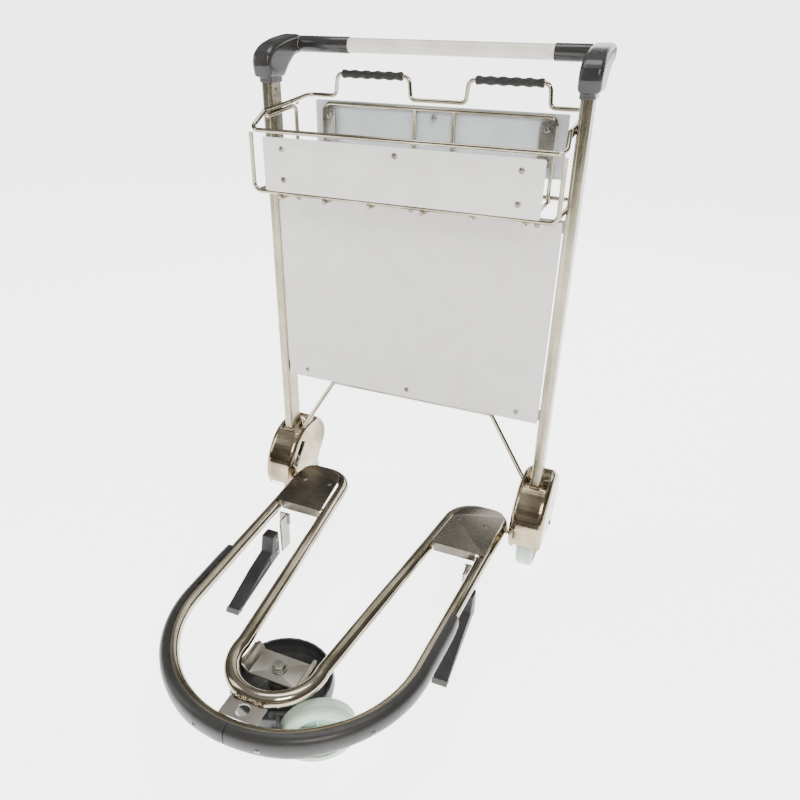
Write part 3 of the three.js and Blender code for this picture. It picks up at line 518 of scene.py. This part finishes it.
# ---------------------------------------------------------------- basket wires
upper = FLOOR_WIRE_Z + WIRE_STEP
rim = [
    at(BASKET_X, BASKET_FRONT_Y, RIM_FRONT_Z), at(SIDE_WIRE_X + 1, -50, RIM_SIDE_Z),
    at(SIDE_WIRE_X, 34, RIM_SIDE_Z + 8)]
rim_path = rounded(both_sides(rim), [16, 14, 14, 16], 10)
tube("basket_front_rim_wire", rim_path, WIRE_R, ("basket_front_rim",), sides=16)
rail = [
    at(LOOP_IN_X, RAIL_Y, RIM_REAR_Z), at(LOOP_IN_X + 4, RAIL_Y + 1, LOOP_TOP_Z),
    at(LOOP_OUT_X - 4, RAIL_Y + 1, LOOP_TOP_Z), at(LOOP_OUT_X, RAIL_Y, RIM_REAR_Z),
    at(RAIL_CORNER_X, RAIL_Y, RIM_REAR_Z), at(SIDE_WIRE_X, 34.3, RIM_SIDE_Z + 8)]
radii = [10, 12, 12, 10, 14]
rail_path = rounded(both_sides(rail), radii[::-1] + radii, 8)
rail_nodes = ("basket_rear_rail_right", "basket_rear_rail_left")
tube("basket_rear_rail_wire", rail_path, WIRE_R, rail_nodes, sides=16)
side_points = [
    at(SIDE_WIRE_X, -44, RIM_SIDE_Z - WIRE_STEP - 0.6), at(SIDE_WIRE_X, 60, RIM_SIDE_Z - WIRE_STEP + 10),
    at(SIDE_WIRE_X, 62, upper), at(SIDE_WIRE_X, BASKET_FRONT_Y + WIRE_STEP, upper)]
right_side = rounded(side_points, 12, 8)
rear_floor_half = [at(264, REAR_FRAME_Y + WIRE_STEP, upper), at(SIDE_WIRE_X, 44, upper)]
rear_floor = rounded(both_sides(rear_floor_half), 14, 8)
bm = bmesh.new()
for path in (right_side, [Vector((-p.x, p.y, p.z)) for p in right_side], rear_floor):
    sweep(bm, path, circle(WIRE_R, 16))
finish_piece(bm, "basket_lower_wires", POLISHED, "frame", ("basket_lower_frame",))
frame_top = RIM_FRONT_Z - WIRE_R - 0.3
front_half = [at(BASKET_X, BASKET_FRONT_Y, z) for z in (upper, frame_top)]
front = rounded(both_sides(front_half), 14, 8)
tube("basket_front_wire", front, WIRE_R, ("basket_front_frame",), sides=16)
for i, x in enumerate(FLOOR_WIRE_X):
    for s, side in ((1, "right"), (-1, "left")):
        ends = [at(s * x, y, FLOOR_WIRE_Z) for y in (-96, -95, -60, 60, 100, 101)]
        bm = bmesh.new()
        sweep(bm, ends, circle(WIRE_R, 16), scale=lambda t: 0.78 if t < 0.01 or t > 0.99 else 1)
        node = f"basket_floor_wire_{i + 1}_{side}"
        finish_piece(bm, f"floor_wire_{i + 1}_{side}", POLISHED, "frame", (node,))
post_bottom = FLOOR_WIRE_Z + WIRE_R + 0.3
back = [at(REAR_FRAME_X, REAR_FRAME_Y, REAR_FRAME_TOP), at(REAR_FRAME_X, REAR_FRAME_Y, post_bottom)]
bm = bmesh.new()
sweep(bm, rounded(both_sides(back), 14, 8), circle(WIRE_R, 16))
for x in (-38.5, 38.5):
    sweep(bm, [at(x, REAR_FRAME_Y, post_bottom), at(x, REAR_FRAME_Y, REAR_FRAME_TOP)], circle(WIRE_R, 16))
finish_piece(bm, "basket_rear_wires", POLISHED, "frame", ("basket_rear_frame",))
weld_y, weld_z = BASKET_FRONT_Y - 3, FLOOR_WIRE_Z + 4.1
wires_across = [-x for x in reversed(FLOOR_WIRE_X)] + list(FLOOR_WIRE_X)
crossings = [[(x - 3, weld_y, weld_z), (x + 3, weld_y, weld_z)] for x in wires_across]
crossings += [[(x, 62, RIM_SIDE_Z + 3.4), (x, 72, RIM_SIDE_Z + 6)] for x in (-SIDE_WIRE_X, SIDE_WIRE_X)]
crossings += [
    [(s * 277.6, -16, z), (s * 277.6, 16, z + dz)] for s in (1, -1) for z, dz in ((908, 5), (773, 0))]
beads("basket_welds", crossings, 1.6)

for s, side in ((1, "right"), (-1, "left")):
    bm = bmesh.new()
    profile = [(4.5, GRIP_IN_X), (7, GRIP_IN_X), (8, GRIP_IN_X + 1.5)]
    first, length = GRIP_IN_X + 3, GRIP_OUT_X - GRIP_IN_X - 5.5
    for x in range(first, int(first + length), 2):
        swell = 7.15 + 0.85 * math.cos((x - first) / length * 2 * math.pi * 5)
        profile.append((swell, x))
    profile += [(8, GRIP_OUT_X - 1.5), (7, GRIP_OUT_X), (4.5, GRIP_OUT_X)]
    spin(bm, profile, placed(at(0, RAIL_Y + 1, LOOP_TOP_Z), (s, 0, 0)), 24)
    finish_piece(bm, "finger_grip_" + side, GRIP, "frame", ("loop_grip_" + side,))

# ---------------------------------------------------------------- handle
along = placed(at(0, HANDLE_Y, HANDLE_Z), (1, 0, 0))
bm = bmesh.new()
spin(bm, [(12.5, -283), (12.5, -100), (12.5, 100), (12.5, 283), (11, 283), (11, -283)], along, 48)
finish_piece(bm, "handle_tube", CREAM, "frame", ("handle_bar",))
for low, high, node in ((-271.2, -170, "handle_sleeve_left"), (210, 271.2, "handle_sleeve_right")):
    bm = bmesh.new()
    spin(bm, [(12.8, low), (13.6, low), (14, low + 1), (14, high - 1), (13.6, high), (12.8, high)], along, 48)
    finish_piece(bm, "look_" + node, DARK, "frame", (node,))
for s, side in ((1, "right"), (-1, "left")):
    clone("corner_cover_" + side, DARK, remesh=1.0, smooth=9)
    fixings("cover_screw_" + side, [(s * 290, -28.5, 978)], (0, -1, 0.1), 3.4, 1.2)

# ---------------------------------------------------------------- front caster
clone("caster_bracket", SHEET, bevel=0.6)
clone("kingpin_bolt", ZINC, bevel=0.7)
clone("caster_housing", BOWL, remesh=1.3, smooth=6, body="caster")
clone("swivel_bearing", ZINC, bevel=0.4, body="caster")
clone("caster_axle_bolt", ZINC, bevel=0.5, body="caster")
cos_h, sin_h = math.cos(HEADING), math.sin(HEADING)
wheel_x, wheel_y = TRAIL * cos_h + OFFSET * sin_h, TRAIL * sin_h - OFFSET * cos_h
wheel("front", at(wheel_x, KINGPIN_Y + wheel_y, FRONT_WHEEL_R), (-sin_h, cos_h, 0), FRONT_WHEEL_R,
      FRONT_WHEEL_WIDTH, "front_wheel", "caster_tyre", "caster_hub")
beads("bracket_welds", [[(s * 55.5, y, 139) for y in (-572, -552, -530)] for s in (1, -1)], 2.2)

# ---------------------------------------------------------------- stage, light and camera
bm = bmesh.new()
bmesh.ops.create_grid(bm, x_segments=2, y_segments=2, size=40)
floor_mesh = bpy.data.meshes.new("floor")
bm.to_mesh(floor_mesh)
bm.free()
floor = bpy.data.objects.new("floor", floor_mesh)
bpy.context.scene.collection.objects.link(floor)
floor_material, floor_tree, floor_shader = new_material("pale_floor")
tone = ramp(floor_tree, noise(floor_tree, 1.2, 2), [(0.3, (0.93, 0.93, 0.93)), (0.7, (0.95, 0.95, 0.95))])
floor_tree.links.new(tone, floor_shader.inputs["Base Color"])
floor_shader.inputs["Roughness"].default_value = 0.9
floor_shader.inputs["Emission Color"].default_value = (1, 1, 1, 1)
floor_shader.inputs["Emission Strength"].default_value = 3.6
floor_mesh.materials.append(floor_material)

world = bpy.data.worlds.new("studio")
world.use_nodes = True
bpy.context.scene.world = world
wt = world.node_tree
background = wt.nodes["Background"]
coords = wt.nodes.new("ShaderNodeTexCoord")
split = wt.nodes.new("ShaderNodeSeparateXYZ")
wt.links.new(coords.outputs["Generated"], split.inputs["Vector"])
sky_bands = [
    (0.0, (0.9, 0.9, 0.9)), (0.06, (0.05, 0.04, 0.03)), (0.24, (0.10, 0.085, 0.07)),
    (0.34, (1, 0.97, 0.92)), (0.5, (0.16, 0.14, 0.12)), (0.75, (1, 1, 1))]
sky = ramp(wt, split.outputs["Z"], sky_bands)
# The bands are what the steel reflects. Seen directly, the background is one plain pale tone.
rays = wt.nodes.new("ShaderNodeLightPath")
mix = wt.nodes.new("ShaderNodeMix")
mix.data_type = "RGBA"
mix.inputs[7].default_value = (6.6, 6.6, 6.6, 1)
wt.links.new(rays.outputs["Is Camera Ray"], mix.inputs[0])
wt.links.new(sky, mix.inputs[6])
wt.links.new(mix.outputs[2], background.inputs["Color"])
background.inputs["Strength"].default_value = 0.6


def area(name, location, target, size, power, color=(1, 1, 1)):
    data = bpy.data.lights.new(name, "AREA")
    data.shape = "RECTANGLE"
    data.size, data.size_y = size
    data.energy = power
    data.color = color
    light = bpy.data.objects.new(name, data)
    bpy.context.scene.collection.objects.link(light)
    light.location = location
    light.rotation_euler = (Vector(target) - Vector(location)).to_track_quat("-Z", "Y").to_euler()


area("key", (1.6, -2.2, 2.8), (0, 0.1, 0.4), (1.4, 1.0), 85, (1, 0.98, 0.95))
area("fill", (-2.6, -1.2, 1.8), (0, 0.1, 0.4), (0.9, 2.0), 30, (0.95, 0.98, 1))
area("top", (0, 0.4, 3.4), (0, 0, 0), (2.4, 1.2), 60)
area("back", (0.6, 2.8, 1.6), (0, 0.2, 0.5), (2.4, 1.0), 30)

yaw, pitch, roll = math.radians(21.66), math.radians(28.7), math.radians(1.29)
forward = Vector((-math.sin(yaw) * math.cos(pitch), math.cos(yaw) * math.cos(pitch), -math.sin(pitch)))
level = Vector((math.cos(yaw), math.sin(yaw), 0))
above = level.cross(forward)
right = math.cos(roll) * level + math.sin(roll) * above
upward = -math.sin(roll) * level + math.cos(roll) * above
camera_at = (0.4679, -0.9191, 1.0418)
camera_data = bpy.data.cameras.new("camera")
camera_data.lens = 31.4
camera_data.sensor_width = 36
camera_data.shift_x = -0.003
camera_data.shift_y = 0.011
camera = bpy.data.objects.new("camera", camera_data)
bpy.context.scene.collection.objects.link(camera)
camera.matrix_world = Matrix((
    (right.x, upward.x, -forward.x, camera_at[0]),
    (right.y, upward.y, -forward.y, camera_at[1]),
    (right.z, upward.z, -forward.z, camera_at[2]),
    (0, 0, 0, 1)))
bpy.context.scene.camera = camera
